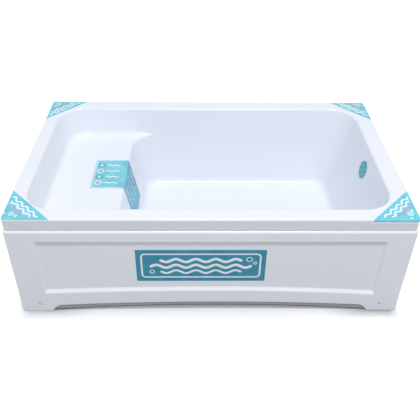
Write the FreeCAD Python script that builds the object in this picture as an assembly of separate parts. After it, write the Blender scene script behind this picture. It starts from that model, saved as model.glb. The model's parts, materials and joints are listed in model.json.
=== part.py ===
import FreeCAD, Part
import math
import os

# A short bathtub with a seat: an acrylic shell on a steel frame, with a front panel.
# Lengths are in millimetres. X runs along the tub from the seat end to the drain end,
# Y from the front panel to the wall, and Z up from the floor. The origin is the middle
# of the footprint, on the floor.

# Overall sizes
overall_length = 1200
overall_width = 700
overall_height = 380

# Rim
panel_proud_front = 5
panel_proud_side = 2
rim_width_seat_end = 45
rim_width_drain_end = 57
rim_width_front = 50
rim_width_back = 57
rim_skirt = 40
rim_outer_corner = 12
rim_top_round = 6
rim_mouth_round = 7

# Well: depths below the rim, how far each wall leans in, and the corners in plan
well_depth = 320
seat_depth = 105
seat_length = 263
lean_back = 33
lean_front = 33
lean_drain_end = 76
lean_seat_end = 23
lean_riser = 42
rim_corner = 88
floor_corner = 58
seat_corner = 90
floor_round = 30

# Layers of the shell
skin = 5
bond_gap = 0.3
laminate = 3.7

# Waste and overflow holes
waste_hole = 52
waste_from_end = 250
waste_board_hole = 90
overflow_hole = 52
overflow_below_rim = 71

# Boards and battens
board_thickness = 12
board_edge_gap = 7
seat_board_inset = 24
seat_board_riser_gap = 18
seat_board_side_inset = 50
batten_thickness = 18
batten_width = 32
batten_width_seat_end = 26
batten_wall_gap = 1
batten_corner_gap = 5
batten_end_gap = 4

# Frame
rail_width = 25
rail_height = 15
tube_wall = 1.5
rail_from_side = 38
rail_end_gap = 20
seat_rail_from_edge = 40
seat_rail_from_wall = 65
board_rail_inset = 15
rim_post_width = 20
rim_post_bracket_gap = 1
seat_post_width = 25
seat_post_offset = 120
plate_thickness = 3
plate_length = 58
plate_width = 25
cap_thickness = 2
cap_depth = 12
cap_fit = 0.3

# Levelling feet
foot_from_end = 90
foot_drop = 20
stud_diameter = 12
stud_spare = 35
stud_chamfer = 1.5
stud_clearance = 0.4
pad_diameter = 50
pad_neck_diameter = 26
pad_base = 4
pad_height = 12
pad_seat = 5
nut_across_flats = 19
nut_height = 10
thin_nut_height = 6

# Screws
screw_shank = 4.5
screw_head = 9
screw_head_height = 2.5
screw_grip = 9
screw_tip = 3
screw_clearance = 0.15
plate_screw_inset = 8
board_screw_offset = 90
panel_screw_bite = 8

# Front panel
panel_wall = 4
panel_top_gap = 2
panel_floor_gap = 2
panel_return = 30
panel_flange = 16
panel_top_round = 8
panel_side_round = 10
panel_foot_round = 12
panel_foot_length = 97
panel_step_run = 18
panel_step_height = 27
panel_step_round = 34
panel_arch_rise = 42
field_from_end = 83
field_from_top = 42
field_bottom = 80
field_bottom_middle = 92
field_depth = 8
strip_thickness = 6
strip_floor_gap = 5
strip_below_crown = 17
strip_above_edge = 20
strip_lap = 6
panel_hole = 8
panel_hole_from_end = 60
panel_hole_below_rail = 6

# Panel fixings
clip_thickness = 2
clip_width = 30
clip_spacing = 400
clip_foot = 22
clip_back_gap = 1
clip_hook = 7
bracket_thickness = 2
bracket_width = 22
bracket_height = 20
bracket_seat = 18

# Stickers and labels
sticker_thickness = 0.4
sticker_film = 0.1
corner_sticker_leg = 137
corner_sticker_wrap = 7
sticker_wall_gap = 2
overflow_sticker = 63
seat_label_top = 113
seat_label_riser = 165
seat_label_width = 165
seat_label_middle = 20
front_label_width = 392
front_label_height = 130
front_label_middle = -31
front_label_bottom = 130

# Overrun that lets one cut pass clean through a face, and what counts as the same place
over = 20
same_place = 0.001

# Heights that follow
skirt_bottom = overall_height - rim_skirt
floor_top = overall_height - well_depth
seat_top = overall_height - seat_depth
shell_build = skin + bond_gap + laminate
board_top = floor_top - shell_build
rail_top = board_top - board_thickness
rail_bottom = rail_top - rail_height
seat_board_top = seat_top - shell_build
seat_board_bottom = seat_board_top - board_thickness
batten_top = overall_height - shell_build
batten_bottom = batten_top - batten_thickness
panel_top = skirt_bottom - panel_top_gap
panel_hole_height = rail_top - panel_hole_below_rail
panel_edge = panel_floor_gap + panel_step_height
panel_crown = panel_floor_gap + panel_arch_rise

# Places along X and Y that follow
end_x = overall_length / 2
side_y = overall_width / 2
rim_x = end_x - panel_proud_side
rim_front = -side_y + panel_proud_front
rim_back = side_y
mouth_left = -rim_x + rim_width_seat_end
mouth_right = rim_x - rim_width_drain_end
mouth_front = rim_front + rim_width_front
mouth_back = rim_back - rim_width_back
seat_edge_x = mouth_left + seat_length
rail_y = side_y - rail_from_side
foot_x = end_x - foot_from_end
panel_front = -side_y
panel_inside = panel_front + panel_wall
field_x = end_x - field_from_end
field_top = panel_top - field_from_top
field_face = panel_front + field_depth
hole_x = end_x - panel_hole_from_end
rim_post_x = hole_x + bracket_width / 2 + rim_post_bracket_gap + rim_post_width / 2
waste_x = end_x - waste_from_end


def vec(x, y, z):
    return FreeCAD.Vector(x, y, z)


def box(x0, x1, y0, y1, z0, z1):
    return Part.makeBox(x1 - x0, y1 - y0, z1 - z0, vec(x0, y0, z0))


def rod(x, y, z0, z1, diameter):
    return Part.makeCylinder(diameter / 2, z1 - z0, vec(x, y, z0))


def wire(points):
    """Closed outline through the points; a list of three is an arc's start, middle and end."""
    edges = []
    for item in points:
        if len(item) == 3:
            edges.append(Part.Arc(*item).toShape())
        else:
            edges.append(Part.LineSegment(*item).toShape())
    return Part.Wire(edges)


def prism(outline, direction):
    return Part.Face(outline).extrude(direction)


def polygon_prism(corners, direction):
    return Part.Face(Part.makePolygon(corners + corners[:1])).extrude(direction)


def edges_at_height(shape, z):
    """The edges that lie flat at one height."""
    flat = [e for e in shape.Edges if abs(e.BoundBox.ZMin - z) < same_place]
    return [e for e in flat if abs(e.BoundBox.ZMax - z) < same_place]


def upright_edges(shape):
    """The straight edges that run along Z."""
    found = []
    for edge in shape.Edges:
        span = edge.BoundBox
        if span.ZLength > span.XLength + span.YLength and edge.Curve.TypeId == "Part::GeomLine":
            found.append(edge)
    return found


def cut_all(shape, tools):
    for tool in tools:
        shape = shape.cut(tool)
    return shape


def save(name, solids):
    """Writes one node; a group of alike pieces is kept as separate solids."""
    if isinstance(solids, list):
        solids = Part.makeCompound(solids)
    solids.exportStep("parts/" + name + ".step")


# Well of the tub, used with several offsets
def rounded_outline(x0, x1, y0, y1, z, r_left, r_right):
    """Rectangle at height z whose corners are rounded by one radius at each end."""
    bend_share = 1 - math.sqrt(0.5)
    points = []
    a = r_left * bend_share
    b = r_right * bend_share
    points.append([vec(x0 + r_left, y0, z), vec(x1 - r_right, y0, z)])
    points.append([vec(x1 - r_right, y0, z), vec(x1 - b, y0 + b, z), vec(x1, y0 + r_right, z)])
    points.append([vec(x1, y0 + r_right, z), vec(x1, y1 - r_right, z)])
    points.append([vec(x1, y1 - r_right, z), vec(x1 - b, y1 - b, z), vec(x1 - r_right, y1, z)])
    points.append([vec(x1 - r_right, y1, z), vec(x0 + r_left, y1, z)])
    points.append([vec(x0 + r_left, y1, z), vec(x0 + a, y1 - a, z), vec(x0, y1 - r_left, z)])
    points.append([vec(x0, y1 - r_left, z), vec(x0, y0 + r_left, z)])
    points.append([vec(x0, y0 + r_left, z), vec(x0 + a, y0 + a, z), vec(x0 + r_left, y0, z)])
    return wire(points)


def wall_share(z):
    """How far down the well's walls a height is: 0 at the rim and 1 at the floor."""
    return (overall_height - z) / well_depth


def drain_wall_x(z):
    return mouth_right - lean_drain_end * wall_share(z)


def corner_radius(z):
    return rim_corner + (floor_corner - rim_corner) * wall_share(z)


def pocket_outline(z, grow):
    """The whole mouth, down to the seat."""
    share = wall_share(z)
    left = mouth_left + lean_seat_end * (overall_height - z) / seat_depth
    radius = corner_radius(z) + grow
    front = mouth_front + lean_front * share
    back = mouth_back - lean_back * share
    right = drain_wall_x(z)
    return rounded_outline(left - grow, right + grow, front - grow, back + grow, z, radius, radius)


def deep_outline(z, grow):
    """The deep part, from the seat's edge to the drain end."""
    share = wall_share(z)
    riser_share = (seat_top - z) / (seat_top - floor_top)
    left = seat_edge_x + lean_riser * riser_share
    left_radius = seat_corner + (floor_corner - seat_corner) * riser_share + grow
    front = mouth_front + lean_front * share
    back = mouth_back - lean_back * share
    right = drain_wall_x(z)
    radius = corner_radius(z) + grow
    return rounded_outline(left - grow, right + grow, front - grow, back + grow, z, left_radius, radius)


def well(grow, top):
    """The hollow of the tub grown outward, closed at a given height."""
    seat = seat_top - grow
    floor = floor_top - grow
    pocket = Part.makeLoft([pocket_outline(top, grow), pocket_outline(seat, grow)], True, True)
    deep = Part.makeLoft([deep_outline(seat, grow), deep_outline(floor, grow)], True, True)
    deep = deep.makeFillet(floor_round + grow, edges_at_height(deep, floor))
    return pocket.fuse(deep)


def rim_block(grow, z0, z1):
    """The rim's outer block with rounded corners in plan."""
    radius = rim_outer_corner + grow
    outline = rounded_outline(
        -rim_x - grow, rim_x + grow, rim_front - grow, rim_back + grow, z0, radius, radius)
    return prism(outline, vec(0, 0, z1 - z0))


def round_top(block, z, radius):
    return block.makeFillet(radius, edges_at_height(block, z))


def waste_cut(diameter):
    return rod(waste_x, 0, rail_bottom, seat_top, diameter)


def overflow_frame():
    """The overflow's centre on the inside of the drain-end wall, and the way out through it."""
    z = overall_height - overflow_below_rim
    run = math.hypot(lean_drain_end, well_depth)
    outward = vec(well_depth / run, 0, -lean_drain_end / run)
    return vec(drain_wall_x(z), 0, z), outward


def overflow_cut():
    centre, outward = overflow_frame()
    return Part.makeCylinder(overflow_hole / 2, 2 * over, centre - outward * over, outward)


def mouth_edges(shell):
    """The well's edges on top of the rim, which lie inside the middle line of the rim."""
    found = []
    for edge in edges_at_height(shell, overall_height):
        span = edge.BoundBox
        inside_x = (span.XMin + rim_x > rim_width_seat_end / 2
                    and rim_x - span.XMax > rim_width_drain_end / 2)
        inside_y = (span.YMin - rim_front > rim_width_front / 2
                    and rim_back - span.YMax > rim_width_back / 2)
        if inside_x and inside_y:
            found.append(edge)
    return found


def tub_shell():
    outer = round_top(rim_block(0, skirt_bottom, overall_height), overall_height, rim_top_round)
    hollow = rim_block(-skin, skirt_bottom, overall_height - skin)
    body = well(skin, overall_height - skin / 2)
    shell = outer.cut(hollow).fuse(body).removeSplitter()
    shell = shell.cut(well(0, overall_height + over))
    shell = shell.makeFillet(rim_mouth_round, mouth_edges(shell))
    return cut_all(shell, [waste_cut(waste_hole), overflow_cut()])


def shell_reinforcement():
    near = skin + bond_gap
    far = near + laminate
    plate = rim_block(-near, overall_height - far, overall_height - near)
    body = well(far, overall_height - near)
    layer = plate.fuse(body).removeSplitter().cut(well(near, overall_height + over))
    return cut_all(layer, [waste_cut(waste_hole), overflow_cut()])


# Boards and battens bonded under the shell
def flat_floor():
    """The flat part of the well's floor: left, right, front and back."""
    inset = floor_round + board_edge_gap
    left = seat_edge_x + lean_riser + inset
    right = drain_wall_x(floor_top) - inset
    front = mouth_front + lean_front + inset
    back = mouth_back - lean_back - inset
    return left, right, front, back


def board_rail_places():
    left, right, _, _ = flat_floor()
    first = left + board_rail_inset
    last = right - board_rail_inset
    middle = (first + waste_x - waste_board_hole / 2) / 2
    return [first, middle, last]


def board_screw_places():
    return [(x, side * board_screw_offset) for x in board_rail_places() for side in (-1, 1)]


def seat_rail_places():
    wall = mouth_left + lean_seat_end
    return [wall + seat_rail_from_wall, seat_edge_x - seat_rail_from_edge]


def seat_post_places():
    return [(x, side * seat_post_offset) for x in seat_rail_places() for side in (-1, 1)]


def plate_screw_places(x, y, along_x):
    """The two screws of a post's top plate, one each side of the post."""
    reach = plate_length / 2 - plate_screw_inset
    if along_x:
        return [(x - reach, y), (x + reach, y)]
    return [(x, y - reach), (x, y + reach)]


def seat_screw_places():
    return [p for x, y in seat_post_places() for p in plate_screw_places(x, y, False)]


def rim_post_places():
    return [(sx * rim_post_x, sy * rail_y) for sx in (-1, 1) for sy in (-1, 1)]


def batten_screw_places():
    return [p for x, y in rim_post_places() for p in plate_screw_places(x, y, True)]


def clip_places():
    return [-clip_spacing, 0, clip_spacing]


def clip_back():
    return panel_front + panel_flange + clip_back_gap


def clip_screw_y():
    return clip_back() + clip_foot / 2


def pilot_holes(places, z):
    """Screw holes that run up from a height."""
    wide = screw_shank + 2 * screw_clearance
    return [rod(x, y, z - over, z + screw_grip + screw_clearance, wide) for x, y in places]


def base_board():
    left, right, front, back = flat_floor()
    board = box(left, right, front, back, rail_top, board_top)
    board = cut_all(board, pilot_holes(board_screw_places(), rail_top))
    return board.cut(waste_cut(waste_board_hole))


def seat_board():
    left = mouth_left + lean_seat_end + seat_board_inset
    right = seat_edge_x - seat_board_riser_gap
    front = mouth_front + seat_board_side_inset
    back = mouth_back - seat_board_side_inset
    board = box(left, right, front, back, seat_board_bottom, seat_board_top)
    return cut_all(board, pilot_holes(seat_screw_places(), seat_board_bottom))


def long_batten(side):
    """The front or back batten, from end to end under the rim."""
    reach = rim_x - batten_end_gap - skin
    if side < 0:
        inner = mouth_front - shell_build - batten_wall_gap
        y0, y1 = inner - batten_width, inner
    else:
        inner = mouth_back + shell_build + batten_wall_gap
        y0, y1 = inner, inner + batten_width
    batten = box(-reach, reach, y0, y1, batten_bottom, batten_top)
    holes = pilot_holes(batten_screw_places(), batten_bottom)
    if side < 0:
        holes = holes + pilot_holes([(x, clip_screw_y()) for x in clip_places()], batten_bottom)
    return cut_all(batten, holes)


def end_batten(side):
    front = mouth_front - shell_build - batten_wall_gap + batten_corner_gap
    back = mouth_back + shell_build + batten_wall_gap - batten_corner_gap
    if side < 0:
        inner = mouth_left - shell_build - batten_wall_gap
        x0, x1 = inner - batten_width_seat_end, inner
    else:
        inner = mouth_right + shell_build + batten_wall_gap
        x0, x1 = inner, inner + batten_width
    return box(x0, x1, front, back, batten_bottom, batten_top)


# Frame of square and flat tube
def tube_x(x0, x1, y):
    """A rail along X, with its walls."""
    half = rail_width / 2
    hollow = half - tube_wall
    outer = box(x0, x1, y - half, y + half, rail_bottom, rail_top)
    inner = box(x0 - over, x1 + over, y - hollow, y + hollow, rail_bottom + tube_wall, rail_top - tube_wall)
    return outer.cut(inner)


def tube_y(x, y0, y1):
    half = rail_width / 2
    hollow = half - tube_wall
    outer = box(x - half, x + half, y0, y1, rail_bottom, rail_top)
    inner = box(x - hollow, x + hollow, y0 - over, y1 + over, rail_bottom + tube_wall, rail_top - tube_wall)
    return outer.cut(inner)


def rail_reach():
    return end_x - rail_end_gap


def side_rail(side):
    rail = tube_x(-rail_reach(), rail_reach(), side * rail_y)
    wide = stud_diameter + 2 * stud_clearance
    holes = [rod(sx * foot_x, side * rail_y, rail_bottom - over, rail_top + over, wide) for sx in (-1, 1)]
    if side < 0:
        screw = screw_shank + 2 * screw_clearance
        middle = rail_top - rail_height / 2
        holes += [rod(sx * hole_x, bracket_screw_y(), middle, rail_top + over, screw) for sx in (-1, 1)]
    return cut_all(rail, holes)


def cross_rail(x, screws):
    reach = rail_y - rail_width / 2
    rail = tube_y(x, -reach, reach)
    wide = screw_shank + 2 * screw_clearance
    places = [side * board_screw_offset for side in (-1, 1)]
    holes = [rod(x, y, rail_bottom - over, rail_top + over, wide) for y in places]
    return cut_all(rail, holes) if screws else rail


def post(x, y, width, top, along_x):
    """An upright tube on a rail, with a plate on top for two screws."""
    half = width / 2
    hollow = half - tube_wall
    z1 = top - plate_thickness
    outer = box(x - half, x + half, y - half, y + half, rail_top, z1)
    tube = outer.cut(box(x - hollow, x + hollow, y - hollow, y + hollow, rail_top - over, z1 + over))
    dx, dy = (plate_length / 2, plate_width / 2) if along_x else (plate_width / 2, plate_length / 2)
    plate = box(x - dx, x + dx, y - dy, y + dy, z1, top)
    wide = screw_shank + 2 * screw_clearance
    holes = [rod(px, py, z1 - over, top + over, wide) for px, py in plate_screw_places(x, y, along_x)]
    return cut_all(tube.fuse(plate), holes)


def rail_end_caps():
    """Plugs in the open ends of the two side rails."""
    caps = []
    half = rail_width / 2
    fit = tube_wall + cap_fit
    for sx in (-1, 1):
        for sy in (-1, 1):
            y = sy * rail_y
            face = rail_reach()
            x0, x1 = sorted((sx * face, sx * (face + cap_thickness)))
            lid = box(x0, x1, y - half, y + half, rail_bottom, rail_top)
            x0, x1 = sorted((sx * (face - cap_depth), sx * face))
            plug = box(x0, x1, y - half + fit, y + half - fit, rail_bottom + fit, rail_top - fit)
            caps.append(lid.fuse(plug))
    return caps


# Levelling feet
def foot_pad(x, y):
    base = rod(x, y, 0, pad_base, pad_diameter)
    rise = pad_height - pad_base
    cone = Part.makeCone(pad_diameter / 2, pad_neck_diameter / 2, rise, vec(x, y, pad_base))
    socket = rod(x, y, pad_seat, pad_height + over, stud_diameter + 2 * stud_clearance)
    return base.fuse(cone).cut(socket)


def stud_top():
    return rail_top + nut_height + foot_drop + stud_spare


def foot_stud(x, y):
    stud = rod(x, y, pad_seat, stud_top(), stud_diameter)
    return stud.makeChamfer(stud_chamfer, edges_at_height(stud, stud_top()))


def nut(x, y, z, height):
    corner = nut_across_flats / math.sqrt(3)
    turns = [math.radians(60 * k) for k in range(6)]
    corners = [vec(x + corner * math.cos(a), y + corner * math.sin(a), z) for a in turns]
    body = polygon_prism(corners, vec(0, 0, height))
    return body.cut(rod(x, y, z - over, z + height + over, stud_diameter + 2 * stud_clearance))


def foot_places():
    names = {(-1, -1): "front_left", (1, -1): "front_right", (-1, 1): "back_left", (1, 1): "back_right"}
    return {names[key]: (key[0] * foot_x, key[1] * rail_y) for key in names}


# Screws
def screw(x, y, z, length, up=True):
    """A pan-head screw whose head bears at height z."""
    sign = 1 if up else -1
    head = Part.makeCylinder(screw_head / 2, screw_head_height, vec(x, y, z), vec(0, 0, -sign))
    shank = Part.makeCylinder(screw_shank / 2, length - screw_tip, vec(x, y, z), vec(0, 0, sign))
    end = vec(x, y, z + sign * (length - screw_tip))
    tip = Part.makeCone(screw_shank / 2, screw_shank / 8, screw_tip, end, vec(0, 0, sign))
    return head.fuse(shank).fuse(tip)


# Front panel
def panel_profile_arc(ends_z, crown_z, reach, y):
    return [vec(-reach, y, ends_z), vec(0, y, crown_z), vec(reach, y, ends_z)]


def panel_block(inset, z0, z1):
    """The panel's outer form, or its inside when inset: front face, rounded ends and top edge."""
    x = end_x - inset
    y0 = panel_front + inset
    y1 = panel_front + panel_return
    block = box(-x, x, y0, y1 + (over if inset else 0), z0, z1)
    front_ends = [e for e in upright_edges(block) if e.BoundBox.YMax < y0 + panel_wall / 2]
    block = block.makeFillet(panel_side_round - inset, front_ends)
    top_edges = [e for e in edges_at_height(block, z1) if e.BoundBox.YMin < y1 - panel_wall]
    return block.makeFillet(panel_top_round - inset, top_edges)


def field_outline(shrink, y):
    x = field_x - shrink
    top = field_top - shrink
    low = field_bottom + shrink
    middle = field_bottom_middle + shrink
    return wire([
        [vec(-x, y, top), vec(x, y, top)],
        [vec(x, y, top), vec(x, y, low)],
        [vec(x, y, low), vec(0, y, middle), vec(-x, y, low)],
        [vec(-x, y, low), vec(-x, y, top)],
    ])


def field_tool(grow):
    """The sunk field, or the bulge that it makes on the inside when grown by the wall."""
    sections = [field_outline(-grow, panel_front), field_outline(-grow, panel_front + grow)]
    mouth = Part.makeLoft(sections, True, True) if grow else None
    slope = [field_outline(-grow, panel_front + grow), field_outline(field_depth - grow, field_face + grow)]
    sunk = Part.makeLoft(slope, True, True)
    return mouth.fuse(sunk) if mouth else sunk


def arch_cut():
    """The opening between the panel's two feet."""
    foot = end_x - panel_foot_length
    step = foot - panel_step_run
    y = panel_front - over
    low = -over
    arc = panel_profile_arc(panel_edge, panel_crown, step, y)
    outline = wire([
        [vec(-foot, y, low), vec(-foot, y, panel_floor_gap)],
        [vec(-foot, y, panel_floor_gap), vec(-step, y, panel_edge)],
        arc,
        [vec(step, y, panel_edge), vec(foot, y, panel_floor_gap)],
        [vec(foot, y, panel_floor_gap), vec(foot, y, low)],
        [vec(foot, y, low), vec(-foot, y, low)],
    ])
    opening = prism(outline, vec(0, panel_return + 2 * over, 0))
    steps = [e for e in opening.Edges if e.BoundBox.YLength > panel_return and is_step_edge(e)]
    return opening.makeFillet(panel_step_round, steps)


def is_step_edge(edge):
    """Whether an edge lies at the top of one of the steps that lead from the panel's feet to its arch."""
    return abs(edge.CenterOfMass.z - panel_edge) < same_place


def panel_foot_cut(side):
    """Rounds the lower outer corner of the panel."""
    r = panel_foot_round
    x = side * end_x
    z = panel_floor_gap
    y0 = panel_front - over
    x0, x1 = sorted((x, x - side * r))
    corner = box(x0, x1, y0, panel_front + panel_return + over, z, z + r)
    disc = Part.makeCylinder(r, panel_return + 2 * over, vec(x - side * r, y0, z + r), vec(0, 1, 0))
    return corner.cut(disc)


def panel_hole_cut(sx, diameter):
    start = vec(sx * hole_x, panel_front - over, panel_hole_height)
    return Part.makeCylinder(diameter / 2, 2 * over, start, vec(0, 1, 0))


def front_panel():
    outer = panel_block(0, panel_floor_gap, panel_top).cut(field_tool(0))
    inner = panel_block(panel_wall, panel_floor_gap - over, panel_top - panel_wall)
    panel = outer.cut(inner.cut(field_tool(panel_wall)))
    behind_flange = box(-end_x + panel_wall, end_x - panel_wall, panel_front + panel_flange,
                        side_y, panel_top - 2 * panel_wall, panel_top + over)
    tools = [behind_flange, arch_cut(), panel_foot_cut(-1), panel_foot_cut(1)]
    tools += [panel_hole_cut(sx, panel_hole) for sx in (-1, 1)]
    return cut_all(panel, tools)


def panel_edge_strip():
    """The set-back strip behind the panel's arched lower edge, with its ends behind the panel's feet."""
    reach = end_x - panel_foot_length + strip_lap
    y = panel_inside
    low = panel_profile_arc(strip_floor_gap, panel_crown - strip_below_crown, reach, y)
    high = panel_profile_arc(panel_edge + strip_above_edge, panel_crown + strip_above_edge, reach, y)
    outline = wire([low, [low[2], high[2]], high[::-1], [high[0], low[0]]])
    return prism(outline, vec(0, strip_thickness, 0))


def panel_clip(x):
    """A sheet hook that hangs from the front batten and holds the panel's top flange."""
    t = clip_thickness
    half = clip_width / 2
    back = clip_back()
    hook_top = panel_top - panel_wall
    foot = box(x - half, x + half, back, back + clip_foot, batten_bottom - t, batten_bottom)
    web = box(x - half, x + half, back, back + t, hook_top - t, batten_bottom)
    hook = box(x - half, x + half, back - clip_hook, back + t, hook_top - t, hook_top)
    wide = screw_shank + 2 * screw_clearance
    hole = rod(x, clip_screw_y(), batten_bottom - over, batten_bottom + over, wide)
    return foot.fuse(web).fuse(hook).removeSplitter().cut(hole)


def bracket_screw_y():
    return -rail_y - rail_width / 2 + bracket_seat / 2


def panel_bracket(sx):
    """An angle on the front rail that the panel is screwed to."""
    t = bracket_thickness
    x = sx * hole_x
    half = bracket_width / 2
    far = -rail_y - rail_width / 2 + bracket_seat
    top = rail_top + t
    foot = box(x - half, x + half, panel_inside, far, rail_top, top)
    leaf = box(x - half, x + half, panel_inside, panel_inside + t, top - bracket_height, top)
    wide = screw_shank + 2 * screw_clearance
    down = rod(x, bracket_screw_y(), rail_top - over, rail_top + over, wide)
    return foot.fuse(leaf).removeSplitter().cut(down).cut(panel_hole_cut(sx, wide))


def panel_screw(sx):
    """A screw sunk in the panel's hole, with its head on the bracket."""
    head_y = panel_inside - screw_head_height
    x = sx * hole_x
    z = panel_hole_height
    wide = panel_hole - 2 * bond_gap
    head = Part.makeCylinder(wide / 2, screw_head_height, vec(x, head_y, z), vec(0, 1, 0))
    shank = Part.makeCylinder(screw_shank / 2, panel_screw_bite, vec(x, panel_inside, z), vec(0, 1, 0))
    return head.fuse(shank)


# Stickers and labels
def corner_sticker(sx, y_corner):
    """A three-cornered sticker on the rim that wraps over its rounded edge, but not onto the wall side."""
    f = sticker_film
    t = f + sticker_thickness
    low = overall_height - corner_sticker_wrap
    high = overall_height + over
    layer = round_top(rim_block(t, low, overall_height + t), overall_height + t, rim_top_round + t)
    rim = round_top(rim_block(f, low, overall_height + f), overall_height + f, rim_top_round + f)
    sy = -1 if y_corner < 0 else 1
    x = sx * (rim_x + t)
    y = y_corner + sy * t
    leg = corner_sticker_leg + t
    corners = [vec(x, y, low), vec(x - sx * leg, y, low), vec(x, y - sy * leg, low)]
    wall_side = box(-end_x, end_x, rim_back - sticker_wall_gap, rim_back + over, low, high)
    return layer.cut(rim).common(polygon_prism(corners, vec(0, 0, high - low))).cut(wall_side)


def overflow_cover():
    centre, outward = overflow_frame()
    return Part.makeCylinder(overflow_sticker / 2, sticker_thickness, centre, outward * -1)


def seat_label():
    """A label that lies on the seat and folds over its edge onto the riser."""
    t = sticker_thickness
    y0 = seat_label_middle - seat_label_width / 2
    drop = seat_top - floor_top
    run = math.hypot(lean_riser, drop)
    down = vec(lean_riser / run, 0, -drop / run)
    out = vec(drop / run, 0, lean_riser / run)
    edge = vec(seat_edge_x, y0, seat_top)
    fold = edge + vec(t * (1 - out.z) / out.x, 0, t)
    start = edge - vec(seat_label_top, 0, 0)
    end = edge + down * seat_label_riser
    corners = [start, edge, end, end + out * t, fold, start + vec(0, 0, t)]
    return polygon_prism(corners, vec(0, seat_label_width, 0))


def front_label():
    x0 = front_label_middle - front_label_width / 2
    z0 = front_label_bottom
    y0 = field_face - sticker_thickness
    return box(x0, x0 + front_label_width, y0, field_face, z0, z0 + front_label_height)


def main():
    os.makedirs("parts", exist_ok=True)
    save("tub_shell", tub_shell())
    save("shell_reinforcement", shell_reinforcement())
    save("base_board", base_board())
    save("seat_board", seat_board())
    save("rim_batten_front", long_batten(-1))
    save("rim_batten_back", long_batten(1))
    save("rim_batten_seat_end", end_batten(-1))
    save("rim_batten_drain_end", end_batten(1))

    save("frame_rail_front", side_rail(-1))
    save("frame_rail_back", side_rail(1))
    for name, x in zip(("seat_end", "seat_edge"), seat_rail_places()):
        save("frame_cross_rail_" + name, cross_rail(x, False))
    for name, x in zip(("riser", "middle", "drain_end"), board_rail_places()):
        save("frame_cross_rail_" + name, cross_rail(x, True))
    for name, place in zip(("front_left", "back_left", "front_right", "back_right"), rim_post_places()):
        save("rim_post_" + name, post(*place, rim_post_width, batten_bottom, True))
    for name, place in zip(("wall_front", "wall_back", "edge_front", "edge_back"), seat_post_places()):
        save("seat_post_" + name, post(*place, seat_post_width, seat_board_bottom, False))
    save("rail_end_caps", rail_end_caps())

    for name, place in foot_places().items():
        save("foot_pad_" + name, foot_pad(*place))
        save("foot_stud_" + name, foot_stud(*place))
    save("foot_lock_nuts", [nut(*place, rail_top, nut_height) for place in foot_places().values()])
    save("foot_bearing_nuts",
         [nut(*place, rail_bottom - thin_nut_height, thin_nut_height) for place in foot_places().values()])

    rail_screw = rail_height + screw_grip
    plate_screw = plate_thickness + screw_grip
    save("base_board_screws", [screw(*p, rail_bottom, rail_screw) for p in board_screw_places()])
    seat_plate = seat_board_bottom - plate_thickness
    save("seat_board_screws", [screw(*p, seat_plate, plate_screw) for p in seat_screw_places()])
    rim_plate = batten_bottom - plate_thickness
    save("rim_batten_screws", [screw(*p, rim_plate, plate_screw) for p in batten_screw_places()])

    save("front_panel", front_panel())
    save("panel_edge_strip", panel_edge_strip())
    save("panel_clips", [panel_clip(x) for x in clip_places()])
    clip_screw = clip_thickness + screw_grip
    save("panel_clip_screws",
         [screw(x, clip_screw_y(), batten_bottom - clip_thickness, clip_screw) for x in clip_places()])
    save("panel_bracket_left", panel_bracket(-1))
    save("panel_bracket_right", panel_bracket(1))
    bracket_top = rail_top + bracket_thickness
    save("panel_bracket_screws",
         [screw(sx * hole_x, bracket_screw_y(), bracket_top, screw_grip, False) for sx in (-1, 1)])
    save("panel_screws", [panel_screw(sx) for sx in (-1, 1)])

    corners = {"front_left": (-1, rim_front), "front_right": (1, rim_front),
               "back_left": (-1, rim_back), "back_right": (1, rim_back)}
    for name, corner in corners.items():
        save("corner_sticker_" + name, corner_sticker(*corner))
    save("overflow_sticker", overflow_cover())
    save("seat_label", seat_label())
    save("front_label", front_label())


main()
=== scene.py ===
import json
import math

import bmesh
import bpy
from mathutils import Matrix, Vector, noise


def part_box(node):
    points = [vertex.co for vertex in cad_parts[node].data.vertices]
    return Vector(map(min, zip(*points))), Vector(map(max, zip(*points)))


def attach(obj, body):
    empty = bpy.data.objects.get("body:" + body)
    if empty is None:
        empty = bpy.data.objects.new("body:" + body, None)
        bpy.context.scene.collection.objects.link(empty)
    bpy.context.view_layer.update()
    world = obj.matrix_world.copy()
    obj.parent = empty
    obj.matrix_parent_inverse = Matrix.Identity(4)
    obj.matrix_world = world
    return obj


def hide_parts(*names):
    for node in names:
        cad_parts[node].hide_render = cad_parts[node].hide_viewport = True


# The short bathtub: its moulded shell and panel, its printed films, and the finish of every part.
# Lengths are in metres.
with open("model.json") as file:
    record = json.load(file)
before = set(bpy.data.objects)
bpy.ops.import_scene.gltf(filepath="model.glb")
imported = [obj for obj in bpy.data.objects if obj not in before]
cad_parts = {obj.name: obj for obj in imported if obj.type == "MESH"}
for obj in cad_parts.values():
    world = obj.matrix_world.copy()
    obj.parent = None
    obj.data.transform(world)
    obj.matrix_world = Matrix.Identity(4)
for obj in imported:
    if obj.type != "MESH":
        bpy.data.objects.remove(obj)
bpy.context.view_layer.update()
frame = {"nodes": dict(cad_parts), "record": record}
nodes = frame["nodes"]

# Size of the shell, as in the frame but for the seat's edge, which is less round here
shell_low, shell_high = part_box("tub_shell")
rim_x = shell_high.x
rim_front = shell_low.y
rim_back = shell_high.y
rim_top = shell_high.z
rim_skirt = 0.040
rim_width_seat_end = 0.045
rim_width_drain_end = 0.057
rim_width_front = 0.050
rim_width_back = 0.057
rim_outer_corner = 0.012
rim_top_round = 0.006
rim_mouth_round = 0.007
rim_corner = 0.088
floor_corner = 0.058
seat_corner = 0.090
well_depth = 0.320
seat_depth = 0.105
seat_length = 0.263
lean_back = 0.033
lean_front = 0.033
lean_drain_end = 0.076
lean_seat_end = 0.023
lean_riser = 0.042
seat_wall_bend = 0.016
seat_edge_bend = 0.009
floor_bend = 0.027
skin = 0.005
bond_gap = 0.0003
laminate = 0.0037
resin_height = 0.0007
resin_swells = 38
resin_fractal = (0.6, 2.1, 4)
moulded_edge = 0.0008
drill_length = 0.04
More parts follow.
